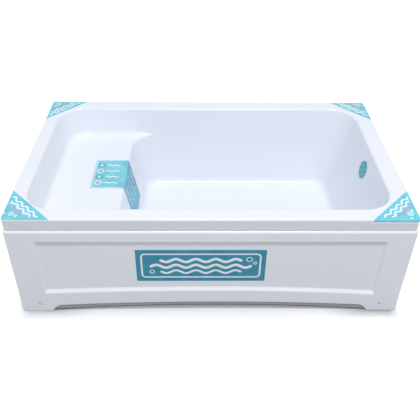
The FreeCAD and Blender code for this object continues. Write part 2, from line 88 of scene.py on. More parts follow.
waste_x = 0.350
waste_radius = 0.026
overflow_radius = 0.026
overflow_below_rim = 0.071

# Size of the front panel, as in the frame but for the edges and slopes of its sunk field
panel_low, panel_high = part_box("front_panel")
panel_wall = 0.004
panel_flange = 0.016
panel_top_round = 0.008
panel_side_round = 0.010
panel_foot_round = 0.012
panel_foot_length = 0.097
panel_step_run = 0.018
panel_step_height = 0.027
panel_step_round = 0.034
panel_arch_rise = 0.042
panel_ease = 0.003
panel_ease_from_end = 0.078
field_from_end = 0.083
field_from_top = 0.0385
field_bottom_left = 0.080
field_bottom_right = 0.0725
field_bottom_middle = 0.092
field_depth = 0.008
field_top_run = 0.005
field_side_run = 0.009
field_bottom_run = 0.014
panel_hole_radius = 0.004
strip_low_middle = 0.027
strip_bead_radius = 0.0024

# Underframe, with the profile of a screw's head as shares of its radius and height
rim_post_width = 0.020
seat_post_width = 0.025
plate_thickness = 0.003
stud_pitch = 0.00175
stud_thread = 0.0009
stud_chamfer = 0.0015
thread_flank = 1.25
thread_flat = 0.125
screw_head = 0.0025
screw_pitch = 0.0018
screw_shank_share = 0.56
screw_thread_share = 0.3
screw_tip_share = 0.6
head_profile = ((0.25, 0), (0.5, 0.06), (0.7, 0.16), (0.86, 0.34), (0.96, 0.6), (1, 0.85), (0.97, 1))
recess_length = 1.25
recess_width = 0.26
recess_depth = 1.3
recess_turn = 20
weld_radius = 0.0014
weld_ripple = 0.0026
weld_ripple_share = 0.09

# Printed films
film_gap = 0.0001
film_thickness = 0.0003
ink_rise = 0.00006
corner_sticker_leg = 0.137
sticker_wall_gap = 0.002
sticker_fold = 0.0085
sticker_white_band = 0.0058
overflow_sag = 0.0006
seat_label_top = 0.113
seat_label_riser = 0.165
film_corner = 0.003
print_step = 0.004

# How finely the curved surfaces are divided; row_close and row_near are how near a row lies to a bend, and
# shares tell how far along its way from start to end each row lies
fan_steps = 16
side_steps = 18
corner_steps = 14
end_steps = 16
bend_steps = 6
row_close = 0.001
row_near = 0.002
merge_reach = 0.000001
wall_drops = (0, 0.02, 0.045)
seat_shares = (0.02, 0.25, 0.5, 0.75, 0.98)
riser_shares = (0.25, 0.5, 0.75)
floor_shares = (0.02, 0.15, 0.3, 0.5, 0.7, 0.85, 0.95, 0.99, 1)
panel_dense_from_foot = 0.045
panel_column_steps = (35, 16, 12, 8)
panel_row_steps = (2, 6, 12, 9, 10, 4)
panel_corner_steps = 8
panel_side_steps = 4
strip_steps = 80
corner_film_shares = (0.03, 0.35, 0.7, 0.97, 1)
overflow_film_shares = (0.06, 0.2, 0.35, 0.5, 0.65, 0.78, 0.85, 0.92, 0.985, 1)
thread_rows = 6
weld_step = 0.0008

# Camera, as solved from the photograph; angles in radians
photo_width = 420
focal_pixels = 549.25
axis_row = 164.85
camera_place = Vector((-0.03378, -1.52659, 1.39791))
yaw, pitch, roll = 0.02162, 0.61141, -0.01471

# Lamp, world and floor
lamp_place = Vector((0.3, -1.85, 4.36))
lamp_target = Vector((0, 0, 0.25))
lamp_size = (1.3, 0.8)
lamp_power = 113
lamp_colour = (0.97, 0.985, 1)
world_colour = (0.90, 0.94, 1, 1)
world_strength = 0.54
floor_reach = 12
floor_drop = -0.0004
floor_unseen = (0.42, 0.42, 0.42, 1)
floor_seen = (0.76, 0.76, 0.76, 1)
# The floor's glow is weaker near and under the tub, which paints shade there, and full at its reach outside
# the footprint; past the tub's ends the distance counts several times over, which paints light over the
# shadow beside them
floor_glow_near = 0.24
floor_glow_far = 0.66
floor_glow_reach = 0.36
floor_end_weight = 10

# Painted shadow on the floor before the panel's feet: where it fades in and out along X, and its reach before
# and behind the panel
shade_inner = (0.36, 0.52)
shade_outer = (0.575, 0.607)
shade_before = 0.034
shade_behind = 0.02
shade_left_share = 0.68

# Heights and places that follow
floor_z = rim_top - well_depth
seat_z = rim_top - seat_depth
skirt_z = rim_top - rim_skirt
mouth_left = -rim_x + rim_width_seat_end
mouth_right = rim_x - rim_width_drain_end
mouth_front = rim_front + rim_width_front
mouth_back = rim_back - rim_width_back
seat_edge_x = mouth_left + seat_length
film_top = film_gap + film_thickness

# Finishes. Each has its screen colours: plain, darker, lighter; its roughness: plain, lowest, highest; the
# noises behind its tone and its roughness; its reliefs: noise, height in metres and strength; other sockets.
# A noise is features per metre and detail, then stretch and distortion where it has them.
drawn_lines = (420, 2, (0.02, 1, 1))
drawn_gloss = (60, 3, (0.1, 1, 1))
finishes = {
    "sanitary_acrylic": (
        ((239, 241, 248), (238, 241, 248), (240, 242, 249)), (0.16, 0.12, 0.20),
        (7, 2), (25, 4), [((160, 2), 0.00002)], {"IOR": 1.49}),
    # A darker copy of the sanitary acrylic for the rim's outer skirt, which paints shade on it
    "skirt_painted_shade_acrylic": (
        ((226, 229, 236), (225, 228, 235), (227, 230, 237)), (0.18, 0.14, 0.22),
        (7, 2), (25, 4), [((160, 2), 0.00002)], {"IOR": 1.49}),
    "panel_sheet": (
        ((240, 242, 247), (239, 241, 246), (241, 243, 248)), (0.2, 0.16, 0.26),
        (5, 2), (30, 4), [((140, 2), 0.00003), ((14, 2), 0.0002)], {"IOR": 1.49}),
    "sprayed_fibreglass": (
        ((226, 226, 216), (214, 214, 202), (236, 236, 228)), (0.5, 0.35, 0.62),
        (22, 6, (1, 1, 1), 1.2), (60, 4), [((420, 5, (1, 0.25, 1), 2.0), 0.0006), ((40, 4), 0.002)], {}),
    "grey_powder_coat": (
        ((194, 195, 197), (188, 189, 192), (200, 201, 202)), (0.42, 0.34, 0.52),
        (9, 3), (70, 4), [((900, 2), 0.00006, 0.7)], {}),
    "bright_zinc": (
        ((206, 209, 214), (190, 194, 202), (220, 221, 216)), (0.3, 0.2, 0.42),
        (55, 5, (1, 1, 1), 0.8), (130, 5), [((500, 3, (1, 1, 0.1)), 0.00003, 0.6)], {"Metallic": 1.0}),
    # Darkened zinc for the panel screws: painted shade of the holes they sit in
    "zinc_painted_hole_shade": (
        ((132, 134, 138), (112, 114, 118), (150, 152, 155)), (0.48, 0.4, 0.6),
        (300, 4, (1, 1, 1), 0.8), (400, 4), [((1500, 2), 0.00002)], {"Metallic": 0.6}),
    "black_polypropylene": (
        ((34, 34, 36), (30, 30, 32), (42, 42, 44)), (0.48, 0.38, 0.58),
        (40, 3), (80, 4), [((1300, 2), 0.00004)], {}),
    "satin_strip": (
        ((168, 171, 177), (162, 165, 171), (174, 177, 183)), (0.5, 0.42, 0.58),
        drawn_lines, drawn_gloss, [(drawn_lines, 0.00005, 0.5)], {}),
    # Dark grey of the bead under the panel's strip: painted shade
    "lip_painted_shade_grey": (
        ((86, 88, 92), (80, 82, 86), (92, 94, 98)), (0.62, 0.55, 0.7),
        drawn_lines, drawn_gloss, [(drawn_lines, 0.00004, 0.5)], {}),
}

# Printed films and inks: the two screen colours that each drifts between, and for the overflow film a flag
# that lays diagonal bands of painted highlight across it
films = {
    "white_ink": ((240, 246, 250), (246, 250, 252)),
    "rose_ink": ((214, 122, 150), (226, 140, 164)),
    "deep_blue_ink": ((58, 132, 168), (74, 150, 182)),
    "turquoise_film": ((96, 196, 212), (128, 214, 232)),
    "overflow_film": ((60, 164, 182), (84, 186, 198), True),
    "teal_film": ((6, 128, 158), (16, 144, 170)),
    "cyan_film": ((112, 198, 212), (136, 212, 224)),
    # A darker copy of the cyan film for the seat label's part down the riser: painted shade
    "riser_painted_shade_film": ((72, 160, 192), (104, 188, 210)),
}


# Small mesh helpers
def new_object(name, mesh):
    item = bpy.data.objects.new(name, mesh)
    bpy.context.scene.collection.objects.link(item)
    return item


def object_from(name, points, faces, inks=None):
    """A mesh object with shared points merged; inks gives each face's material number."""
    mesh = bpy.data.meshes.new(name)
    mesh.from_pydata(points, [], faces)
    if inks:
        mesh.polygons.foreach_set("material_index", inks)
    built = bmesh.new()
    built.from_mesh(mesh)
    bmesh.ops.remove_doubles(built, verts=built.verts, dist=merge_reach)
    bmesh.ops.dissolve_degenerate(built, edges=built.edges, dist=merge_reach / 10)
    built.to_mesh(mesh)
    built.free()
    mesh.shade_smooth()
    return new_object(name, mesh)


def even(count, start=0.0, end=1.0):
    return [start + (end - start) * k / count for k in range(count)]


def graded(ends, counts):
    """Places along a line, with a number of even steps from each end to the next."""
    places = []
    for start, end, count in zip(ends, ends[1:], counts):
        places += even(count, start, end)
    return places + [ends[-1]]


def circle(steps):
    """Cosine and sine of even turns round a circle."""
    turns = [2 * math.pi * k / steps for k in range(steps)]
    return [(math.cos(t), math.sin(t)) for t in turns]


def grid_faces(row_count, column_count, closed):
    """Quads between rows of points that are numbered row by row."""
    faces = []
    for first in range(0, (row_count - 1) * column_count, column_count):
        for c in range(column_count if closed else column_count - 1):
            a = first + c
            b = first + (c + 1) % column_count
            faces.append((a, b, b + column_count, a + column_count))
    return faces


def sheet_from(name, rows, closed=False):
    """A mesh object through rows of points; closed joins the two ends of each row."""
    return object_from(name, [p for row in rows for p in row], grid_faces(len(rows), len(rows[0]), closed))


def tube(rows):
    """Points and faces of a closed round shape through rings of points, with its first and last end."""
    count = len(rows[0])
    points = [p for row in rows for p in row]
    ends = [tuple(range(count))[::-1], tuple(range(len(points) - count, len(points)))]
    return points, grid_faces(len(rows), count, True) + ends


def modifier(item, kind, **settings):
    added = item.modifiers.new(kind.title(), kind)
    for key, value in settings.items():
        setattr(added, key, value)
    return added


def applied(item):
    """Gives the item the shape that its modifiers make."""
    bpy.context.view_layer.update()
    seen = item.evaluated_get(bpy.context.evaluated_depsgraph_get())
    shape = bpy.data.meshes.new_from_object(seen)
    item.modifiers.clear()
    item.data = shape
    return item


def round_edges(item, width, degrees, **settings):
    """Rounds the edges that bend by more than an angle."""
    modifier(item, "BEVEL", width=width, segments=2, limit_method="ANGLE", angle_limit=math.radians(degrees),
             **settings)


def moulded(sheet, thickness, **settings):
    """Gives a sheet its thickness, with sharp edges a little rounded."""
    modifier(sheet, "SOLIDIFY", thickness=thickness, offset=-1, **settings)
    round_edges(sheet, moulded_edge, 50)
    return applied(sheet)


def cut(item, place, shape, **size):
    """Cuts a closed shape of bmesh.ops, moved to its place, out of the item."""
    built = bmesh.new()
    shape(built, **size)
    mesh = bpy.data.meshes.new("cutter")
    built.to_mesh(mesh)
    built.free()
    mesh.transform(place)
    cutter = new_object("cutter", mesh)
    modifier(item, "BOOLEAN", object=cutter, operation="DIFFERENCE", solver="EXACT")
    applied(item)
    bpy.data.objects.remove(cutter)


def drill(item, places, radius, axis):
    """Cuts a round hole through the item at each place."""
    turn = Vector((0, 0, 1)).rotation_difference(axis).to_matrix().to_4x4()
    for place in places:
        cut(item, Matrix.Translation(place) @ turn, bmesh.ops.create_cone, cap_ends=True, segments=64,
            radius1=radius, radius2=radius, depth=drill_length)


def painted(item, materials, smooth=32, second=None):
    """Paints an item and smooths it up to an angle; second picks, by their centres, the faces of the second
    material."""
    for material in materials:
        item.data.materials.append(material)
    if second:
        for face in item.data.polygons:
            face.material_index = int(second(face.center))
    if smooth:
        item.data.shade_smooth()
        item.data.set_sharp_from_angle(angle=math.radians(smooth))
        modifier(item, "WEIGHTED_NORMAL", keep_sharp=True, weight=60)
    return item


def place_piece(item, slot, *replaced, body="tub"):
    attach(item, body)
    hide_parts(*replaced)


def bend(start, corner, end, steps):
    """Points of a round bend from start to end, whose tangents meet at the corner."""
    a = start - corner
    b = end - corner
    flat = a.length < 1e-7 or b.length < 1e-7
    weight = 1 if flat else max(math.sin(a.angle(b) / 2), 0.05)
    points = []
    for k in range(steps + 1):
        s = k / steps
        shares = (1 - s) ** 2, 2 * weight * s * (1 - s), s ** 2
        points.append((start * shares[0] + corner * shares[1] + end * shares[2]) / sum(shares))
    return points


# Outline of the well: eight stretches, from the front side round by the drain end
def outline_point(sides, radii, stretch, share):
    """A point on a rounded rectangle, at a share of the way along one of its stretches."""
    x0, x1, y0, y1 = sides
    left, right = radii
    if stretch % 2:
        quarter = stretch // 2
        cx, cy, radius = ((x1 - right, y0 + right, right), (x1 - right, y1 - right, right),
                          (x0 + left, y1 - left, left), (x0 + left, y0 + left, left))[quarter]
        turn = math.radians(90 * (quarter - 1) + 90 * share)
        return cx + radius * math.cos(turn), cy + radius * math.sin(turn)
    if stretch == 0:
        return x0 + left + (x1 - right - x0 - left) * share, y0
    if stretch == 2:
        return x1, y0 + right + (y1 - y0 - 2 * right) * share
    if stretch == 4:
        return x1 - right + (x0 + left - x1 + right) * share, y1
    return x0, y1 - left + (y0 - y1 + 2 * left) * share


def wall_share(z):
    return (rim_top - z) / well_depth


def pocket_sides(z, grow=0):
    """The mouth at height z, down to the seat."""
    share = wall_share(z)
    x0 = mouth_left + lean_seat_end * (rim_top - z) / seat_depth - grow
    x1 = mouth_right - lean_drain_end * share + grow
    y0 = mouth_front + lean_front * share - grow
    y1 = mouth_back - lean_back * share + grow
    radius = rim_corner + (floor_corner - rim_corner) * share + grow
    return (x0, x1, y0, y1), (radius, radius)


def deep_sides(z, grow=0):
    """The deep part at height z, below the seat."""
    (_, x1, y0, y1), (_, radius) = pocket_sides(z, grow)
    share = (seat_z - z) / (seat_z - floor_z)
    x0 = seat_edge_x + lean_riser * share - grow
    left = seat_corner + (floor_corner - seat_corner) * share + grow
    return (x0, x1, y0, y1), (left, radius)


def rim_sides(inset):
    radius = rim_outer_corner - inset
    return (-rim_x + inset, rim_x - inset, rim_front + inset, rim_back - inset), (radius, radius)


def well_columns():
    """Places round the well at the seat's height, as stretch and share on the pocket and on the deep part."""
    sides, radii = pocket_sides(seat_z)
    x0, x1, y0, y1 = sides
    (edge, _, _, _), (flare, _) = deep_sides(seat_z)
    turn_x = edge + flare
    side_start = x0 + radii[0]
    side_end = x1 - radii[0]
    side_length = side_end - side_start

    def deep_place(stretch, share):
        """The stretch and share on the deep part that a ray from its corner's centre meets."""
        if stretch in (1, 2, 3):
            return stretch, share
        x, y = outline_point(sides, radii, stretch, share)
        if stretch in (0, 4) and x >= turn_x - 1e-9:
            part = (x - turn_x) / (side_end - turn_x)
            return (0, part) if stretch == 0 else (4, 1 - part)
        for centre_y, corner, angle in ((y1 - flare, 5, 90), (y0 + flare, 7, 180)):
            if (y - centre_y) * (6 - corner) >= 0:
                turn = math.degrees(math.atan2(y - centre_y, x - turn_x)) % 360
                return corner, (turn - angle) / 90
        return 6, (y1 - flare - y) / (y1 - y0 - 2 * flare)

    last_turn = math.degrees(math.atan2(turn_x - side_start, flare))
    turns = [math.radians(last_turn * k / fan_steps) for k in range(fan_steps, 0, -1)]
    fan = [turn_x - flare * math.tan(turn) for turn in turns]
    run = even(side_steps, turn_x, side_end)
    ahead = [(x - side_start) / side_length for x in fan + run]
    back = [(side_end - x) / side_length for x in [side_end] + run[:0:-1] + [turn_x] + fan[:0:-1]]
    top = y1 - radii[0]
    low = y0 + radii[0]
    down = [(top - y) / (top - low) for y in [top] + graded([y1 - flare, y0 + flare], [end_steps])]
    corner = even(corner_steps)
    stretches = (ahead, corner, even(end_steps), corner, back, corner, down, corner)
    return [((k, share), deep_place(k, share)) for k, shares in enumerate(stretches) for share in shares]


def column_points(pocket, deep, outer):
    """One column of the shell's face: over the rim, down the wall, over the seat and on to the waste hole."""
    def rim(inset, z):
        return Vector((*outline_point(*rim_sides(inset), *pocket), z))

    def wall(z, grow=0):
        return Vector((*outline_point(*pocket_sides(z, grow), *pocket), z))

    def deep_wall(z, grow=0):
        return Vector((*outline_point(*deep_sides(z, grow), *deep), z))

    points = []
    if outer:
        edge_low = rim_top - rim_top_round
        points += [rim(0, z) for z in (skirt_z, rim_top - rim_skirt / 2, edge_low - row_close)]
        points += bend(rim(0, edge_low), rim(0, rim_top), rim(rim_top_round, rim_top), bend_steps)
    points.append(rim(rim_top_round + row_close, rim_top))
    points.append(wall(rim_top, rim_mouth_round + row_near))
    mouth_low = rim_top - rim_mouth_round
    points += bend(wall(rim_top, rim_mouth_round), wall(rim_top), wall(mouth_low), bend_steps)
    bend_top = seat_z + seat_wall_bend
    points += [wall(mouth_low - row_near - drop) for drop in wall_drops]
    points.append(wall(bend_top + row_near))

    junction = wall(seat_z)
    edge = deep_wall(seat_z)
    across = edge - junction
    ahead = across.normalized() if across.length > 1e-6 else Vector()
    first = junction + ahead * min(seat_wall_bend, across.length / 2)
    last = edge - ahead * min(seat_edge_bend, across.length / 2)
    points += bend(wall(bend_top), junction, first, bend_steps)
    points += [first.lerp(last, share) for share in seat_shares]
    bend_low = seat_z - seat_edge_bend
    points += bend(last, edge, deep_wall(bend_low), bend_steps)

    floor_bend_top = floor_z + floor_bend
    points.append(deep_wall(bend_low - row_near))
    points += [deep_wall(bend_low + (floor_bend_top - bend_low) * share) for share in riser_shares]
    points.append(deep_wall(floor_bend_top + row_near))
    floor_start = deep_wall(floor_z, -floor_bend)
    points += bend(deep_wall(floor_bend_top), deep_wall(floor_z), floor_start, bend_steps + 2)
    waste = Vector((waste_x, 0, floor_z))
    hole_edge = waste + (floor_start - waste).normalized() * waste_radius
    return points + [floor_start.lerp(hole_edge, share) for share in floor_shares]


def well_surface(name, outer):
    """The face of the shell that shows, as one sheet; without its outer skirt when outer is false."""
    columns = [column_points(pocket, deep, outer) for pocket, deep in well_columns()]
    return sheet_from(name, list(zip(*columns)), True)


def overflow_axis():
    return Vector((well_depth, 0, -lean_drain_end)).normalized()


def overflow_centre():
    z = rim_top - overflow_below_rim
    return Vector((mouth_right - lean_drain_end * wall_share(z), 0, z))


def on_skirt(place):
    """Whether a point lies on the rim's outer skirt, below its rounding, where the shell's colour is darkened
    as painted shade.
    """
    beyond = max(abs(place.x) - rim_x, rim_front - place.y, place.y - rim_back)
    return beyond > -0.0005 and place.z < rim_top - rim_top_round


def make_shell():
    shell = moulded(well_surface("tub_shell_moulding", True), skin)
    drill(shell, [overflow_centre()], overflow_radius, overflow_axis())
    # The skirt's faces take the darker copy of the acrylic: painted shade
    acrylic = [surface("sanitary_acrylic"), surface("skirt_painted_shade_acrylic")]
    place_piece(painted(shell, acrylic, second=on_skirt), "shell_acrylic", "tub_shell")


def make_reinforcement():
    """The layer on the back of the well and under the rim, whose sprayed side swells and sinks a little."""
    layer = well_surface("shell_reinforcement_layer", False)
    vertices = layer.data.vertices
    moved = [v.co - v.normal * (skin + bond_gap) for v in vertices]
    for vertex, place in zip(vertices, moved):
        vertex.co = place
    modifier(layer, "SUBSURF", levels=1, render_levels=1, subdivision_type="SIMPLE")
    modifier(layer, "SOLIDIFY", thickness=laminate, offset=-1)
    applied(layer)
    drill(layer, [overflow_centre()], overflow_radius, overflow_axis())
    vertices = layer.data.vertices
    normals = [v.normal.copy() for v in vertices]
    middle = Vector((0, 0, rim_top))
    for vertex, normal in zip(vertices, normals):
        if normal.dot(vertex.co - middle) > 0 and vertex.co.z < seat_z:
            swell = noise.fractal(vertex.co * resin_swells, *resin_fractal)
            vertex.co += normal * (resin_height * max(min(swell, 1), -1))
    place_piece(painted(layer, [surface("sprayed_fibreglass")]), "fibreglass", "shell_reinforcement")


# Front panel
def panel_step_curve(step, edge):
    """Centre of the round that leads from the arch down the step, and where it starts and ends."""
    arch = Vector((1, 2 * (panel_step_height - panel_arch_rise) / step)).normalized()
    down = Vector((panel_step_run, -panel_step_height)).normalized()
    reach = panel_step_round * math.tan(arch.angle(down) / 2)
    start = Vector((step, edge)) - arch * reach
    centre = start + panel_step_round * Vector((arch.y, -arch.x))
    return centre, start.x, step + down.x * reach


def panel_foot_line(x):
    """Height of the panel's lower edge: two feet with rounded outer corners, and an arch between them."""
    x = abs(x)
    low = panel_low.z
    corner = panel_high.x - panel_foot_round
    foot = panel_high.x - panel_foot_length
    step = foot - panel_step_run
    centre, round_start, round_end = panel_step_curve(step, low + panel_step_height)
    if x > corner:
        return low + panel_foot_round - math.sqrt(max(panel_foot_round ** 2 - (x - corner) ** 2, 0))
    if x > foot:
        return low
    if x > round_end:
        return low + panel_step_height * (foot - x) / panel_step_run
    if x > round_start:
        return centre.y + math.sqrt(panel_step_round ** 2 - (x - centre.x) ** 2)
    return low + panel_arch_rise + (panel_step_height - panel_arch_rise) * (x / step) ** 2


def panel_edge(x):
    """The lower edge with the step's foot eased."""
    near = abs(x) < panel_high.x - panel_ease_from_end
    places = [x - panel_ease, x, x + panel_ease] if near else [x]
    return sum(panel_foot_line(place) for place in places) / len(places)


def field_low(x):
    reach = panel_high.x - field_from_end
    share = min(abs(x) / reach, 1)
    end = field_bottom_left if x < 0 else field_bottom_right
    return field_bottom_middle + (end - field_bottom_middle) * share ** 2


def field_sink(x, z):
    """How deep the sunk field lies behind the panel's face, with eased slopes that meet in round corners."""
    side = min((panel_high.x - field_from_end - abs(x)) / field_side_run, 1)
    above = (panel_high.z - field_from_top - z) / field_top_run
    below = (z - field_low(x)) / field_bottom_run
    level = min(above, below, 1)
    share = max(min(side, level, 1 - math.hypot(1 - side, 1 - level)), 0)
    return field_depth * share * share * (3 - 2 * share)


def panel_plan():
    """The panel's outline seen from above: x, y and the way inward."""
    reach = panel_high.x - field_from_end
    dense = panel_high.x - panel_foot_length - panel_dense_from_foot
    last = panel_high.x - panel_side_round
    half = graded([0, dense, reach - field_side_run, reach + row_close, last], panel_column_steps)
    front = [(x, panel_low.y, Vector((0, 1, 0))) for x in [-x for x in half[:0:-1]] + half]
    centre_y = panel_low.y + panel_side_round
    right = []
    for turn in graded([0, math.radians(90)], [panel_corner_steps])[1:]:
        way = Vector((-math.sin(turn), math.cos(turn), 0))
        right.append((last - panel_side_round * way.x, centre_y - panel_side_round * way.y, way))
    for y in graded([centre_y, panel_high.y], [panel_side_steps])[1:]:
        right.append((panel_high.x, y, Vector((-1, 0, 0))))
    left = [(-x, y, Vector((-way.x, way.y, 0))) for x, y, way in right[::-1]]
    return left + front + right


def panel_column(x, y, inward):
    """Points from the panel's lower edge up its face and over its top edge."""
    face = Vector((x, y, 0))
    low = panel_edge(x)
    top = panel_high.z
    field_base = field_low(x)
    field_head = top - field_from_top
    slope_end = field_base + field_bottom_run + row_close
    slope_start = field_head - field_top_run - row_close
    heights = graded([low, low + 2 * row_near, field_base - row_close, slope_end, slope_start,
                      field_head + row_near, top - panel_top_round - row_close], panel_row_steps)
    points = [face + inward * field_sink(x, z) + Vector((0, 0, z)) for z in heights]
    lip = face + Vector((0, 0, top - panel_top_round))
    crest = face + inward * panel_top_round + Vector((0, 0, top))
    points += bend(lip, face + Vector((0, 0, top)), crest, bend_steps)
    reach = panel_high.x - panel_top_round
    in_front = y < panel_low.y + panel_side_round
    flange = Vector((min(max(crest.x, -reach), reach), panel_low.y + panel_flange, top))
    points.append(flange if in_front else crest)
    return points


def panel_screw_place():
    """Radius of the panel screws' heads, and how far from the middle and how high they sit."""
    low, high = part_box("panel_screws")
    radius = (high.z - low.z) / 2
    return radius, high.x - radius, (low.z + high.z) / 2


def make_panel():
    columns = [panel_column(*place) for place in panel_plan()]
    panel = moulded(sheet_from("front_panel_moulding", list(zip(*columns))), panel_wall, use_even_offset=True)
    _, reach, z = panel_screw_place()
    holes = [Vector((side * reach, panel_low.y, z)) for side in (-1, 1)]
    drill(panel, holes, panel_hole_radius, Vector((0, 1, 0)))
    place_piece(painted(panel, [surface("panel_sheet")]), "panel_acrylic", "front_panel")


def make_strip_lip():
    """A dark bead along the arched lower edge of the strip behind the panel: painted shade along that edge.
    """
    low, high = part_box("panel_edge_strip")
    radius = strip_bead_radius
    rise = strip_low_middle - low.z
    bow = (high.x ** 2 + rise ** 2) / (2 * rise)
    rows = []
    for x in graded([low.x, high.x], [strip_steps]):
        z = strip_low_middle - bow + math.sqrt(bow ** 2 - x ** 2)
        centre = Vector((x, low.y + radius / 2, z - radius / 4))
        rows.append([centre + radius * Vector((0, across, up)) for across, up in circle(16)])
    lip = object_from("panel_strip_shade_bead", *tube(rows))
    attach(painted(lip, [surface("lip_painted_shade_grey")]), "tub")


# Threads, screws and welds
def threaded_rows(length, radius, pitch, depth, chamfer, columns=24):
    """Rings of points up a threaded rod with eased ends, along Z from the origin."""
    rows = []
    for z in graded([0, length], [round(length / pitch * thread_rows)]):
        end = radius - chamfer + min(z, length - z)
        row = []
        for c, (x, y) in enumerate(circle(columns)):
            phase = (z / pitch - c / columns) % 1
            groove = min(max(thread_flank * (1 - abs(2 * phase - 1)) - thread_flat, 0), 1)
            reach = min(radius - depth * groove, end)
            row.append(Vector((reach * x, reach * y, z)))
        rows.append(row)
    return rows


def turned(name, rows, place):
    """A closed round piece from rings of points, moved to its place."""
    points, faces = tube(rows)
    return object_from(name, [place @ p for p in points], faces)


def make_studs():
    """Threaded studs of the levelling feet, each riding on its own foot."""
    zinc = surface("bright_zinc")
    for corner in ("front_left", "back_left", "front_right", "back_right"):
        low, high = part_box("foot_stud_" + corner)
        middle = (low + high) / 2
        rows = threaded_rows(high.z - low.z, (high.x - low.x) / 2, stud_pitch, stud_thread, stud_chamfer)
        stud = turned(f"foot_stud_{corner}_thread", rows, Matrix.Translation((middle.x, middle.y, low.z)))
        place_piece(painted(stud, [zinc], 70), "zinc_steel", "foot_stud_" + corner, body="foot_" + corner)


def make_panel_screws():
    """Pan-head screws with a cross recess, sunk in the panel's holes; their zinc is darkened to paint the
    shade in the holes.
    """
    low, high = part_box("panel_screws")
    radius, reach, z = panel_screw_place()
    shank = radius * screw_shank_share
    recess = Matrix.Diagonal((radius * recess_length, radius * recess_width, screw_head * recess_depth, 1))
    into_panel = Matrix.Rotation(math.radians(-90), 4, "X")
    zinc = surface("zinc_painted_hole_shade")
    for side, name in ((-1, "left"), (1, "right")):
        place = Matrix.Translation((side * reach, low.y, z)) @ into_panel
        head = [[Vector((radius * out * x, radius * out * y, screw_head * rise)) for x, y in circle(40)]
                for out, rise in head_profile]
        screw = turned(f"panel_screw_{name}_head", head, place)
        for angle in (0, 90):
            turn = Matrix.Rotation(math.radians(angle + recess_turn * side), 4, "Z")
            cut(screw, place @ turn @ recess, bmesh.ops.create_cube, size=1)
        place_piece(painted(screw, [zinc], 40), "zinc_steel", "panel_screws")
        rows = threaded_rows(high.y - low.y - screw_head, shank, screw_pitch, shank * screw_thread_share,
                             shank * screw_tip_share, 16)
        thread = turned(f"panel_screw_{name}_thread", rows, place @ Matrix.Translation((0, 0, screw_head)))
        place_piece(painted(thread, [zinc], 70), "zinc_steel")


class Shapes:
    """Points, faces and each face's ink, gathered for one object."""

    def __init__(self):
        self.points = []
        self.faces = []
        self.inks = []

    def shape(self, points, faces, ink=0):
        first = len(self.points)
        self.points += points
        self.faces += [tuple(first + k for k in face) for face in faces]
        self.inks += [ink] * len(faces)


class Welds(Shapes):
    """Rippled weld beads, all in one piece."""

    def bead(self, start, end):
        way = (end - start).normalized()
        side = way.orthogonal().normalized()
        up = way.cross(side)
        length = (end - start).length
        rows = []
        for along in graded([0, length], [round(length / weld_step)]):
            taper = math.sqrt(min(max(min(along, length - along) / weld_radius, 0.02), 1))
            ripple = 1 + weld_ripple_share * math.cos(2 * math.pi * along / weld_ripple)
            radius = weld_radius * taper * ripple
            rows.append([start + way * along + (side * x + up * y) * radius for x, y in circle(8)])
        self.shape(*tube(rows))

    def around(self, middle, half, z, skip=()):
        """Beads round a square tube of half width at height z, without the sides in skip."""
        for x, y in ((1, 0), (-1, 0), (0, 1), (0, -1)):
            if (x, y) not in skip:
                centre = Vector((middle.x, middle.y, z)) + Vector((x, y, 0)) * half
                along = Vector((-y, x, 0)) * (half * 0.9)
                self.bead(centre - along, centre + along)


def make_welds():
    """Beads where the rails, posts and plates of the underframe meet."""
    welds = Welds()
    gap = 0.001
    for name in nodes:
        low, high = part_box(name)
        middle = (low + high) / 2
        if name.startswith("frame_cross_rail"):
            for y in (low.y, high.y):
                for x in (low.x, high.x):
                    welds.bead(Vector((x, y, low.z + gap)), Vector((x, y, high.z - gap)))
                welds.bead(Vector((low.x + gap, y, high.z)), Vector((high.x - gap, y, high.z)))
        elif name.startswith("rim_post"):
            inner = (-1 if middle.x > 0 else 1, 0)
            welds.around(middle, rim_post_width / 2, low.z, (inner,) if middle.y < 0 else ())
            welds.around(middle, rim_post_width / 2, high.z - plate_thickness)
        elif name.startswith("seat_post"):
            for z in (low.z, high.z - plate_thickness):
                welds.around(middle, seat_post_width / 2, z, ((1, 0), (-1, 0)))
    item = object_from("frame_weld_beads", welds.points, welds.faces)
    place_piece(painted(item, [surface("grey_powder_coat")], None), "frame_paint")


# Printed films
def round_line(centre, radius, steps):
    return [Vector(centre) + radius * Vector(point) for point in circle(steps)]


def rounded_rectangle(low, high, radius):
    """Points round a rectangle with rounded corners, also along its sides, so that it can follow a fold."""
    sides = low[0], high[0], low[1], high[1]
    shares = graded([0, 1], [6])
    corners = [[Vector(outline_point(sides, (radius, radius), quarter, share)) for share in shares]
               for quarter in (1, 3, 5, 7)]
    line = []
    for corner, following in zip(corners, corners[1:] + corners[:1]):
        gap = following[0] - corner[-1]
        parts = max(1, round(gap.length / print_step))
        line += corner + [corner[-1] + gap * share for share in even(parts)[1:]]
    return line


def flat_place(origin, across, up):
    """Where a point across and up lies on a flat film."""
    normal = across.cross(up)

    def place(u, v):
        return origin + across * u + up * v, normal
    return place


def film_from(sheet, outward, inks, slot, *replaced, thickness=film_thickness, **settings):
    """Gives a film or a print its thickness, behind the face that looks outward."""
    total = sum((face.normal * face.area for face in sheet.data.polygons), Vector())
    if total.dot(outward) < 0:
        sheet.data.flip_normals()
    modifier(sheet, "SOLIDIFY", thickness=thickness, offset=-1)
    place_piece(painted(applied(sheet), inks, **settings), slot, *replaced)


